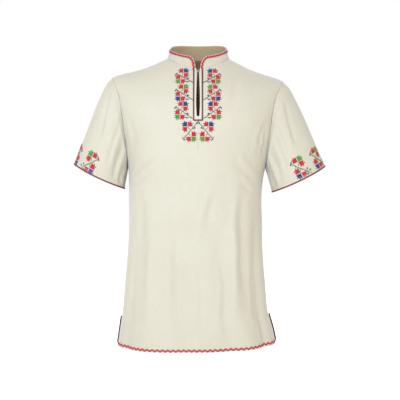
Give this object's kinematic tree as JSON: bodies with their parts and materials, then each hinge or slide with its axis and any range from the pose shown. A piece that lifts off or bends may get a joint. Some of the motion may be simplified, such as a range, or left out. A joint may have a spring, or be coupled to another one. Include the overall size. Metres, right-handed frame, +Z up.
{
  "type": "embroidered tunic",
  "caption": "Short-sleeved cream tunic with a stand collar, a braided neck slit, cross-stitch flowers and red zigzag edging, in its worn form.",
  "frame": {"origin": "middle of the neck base, where the wearer's shoulders and neck hold the garment", "axes": "+Z up, from hem to collar; the front faces -Y; +X is the viewer's right"},
  "size_m": [0.6507, 0.2704, 0.7872],
  "materials": {
    "cream_cotton": "plain-woven cream cotton, matt with a faint sheen",
    "band_cotton": "plain-woven pale cotton band",
    "red_trim": "red zigzag braid trim",
    "dark_red_braid": "flat dark red braid",
    "maroon_braid": "brown-maroon braid",
    "embroidery": "stranded cotton cross-stitch in red, blue, green and yellow",
    "hook_wire": "plated hook and eye wire"
  },
  "bodies": {
    "root": {"front": "cream_cotton", "back": "cream_cotton", "sleeve_left": "cream_cotton", "sleeve_right": "cream_cotton", "collar": "cream_cotton", "placket": "band_cotton", "placket_braid": "maroon_braid", "collar_trim": "red_trim", "hem_trim_front": "red_trim", "hem_trim_back": "red_trim", "vent_trim_front_left": "red_trim", "vent_trim_front_right": "red_trim", "vent_trim_back_left": "red_trim", "vent_trim_back_right": "red_trim", "cuff_braid_left": "dark_red_braid", "cuff_braid_right": "dark_red_braid", "neck_hook": "hook_wire", "neck_eye": "hook_wire"}
  },
  "joints": []
}
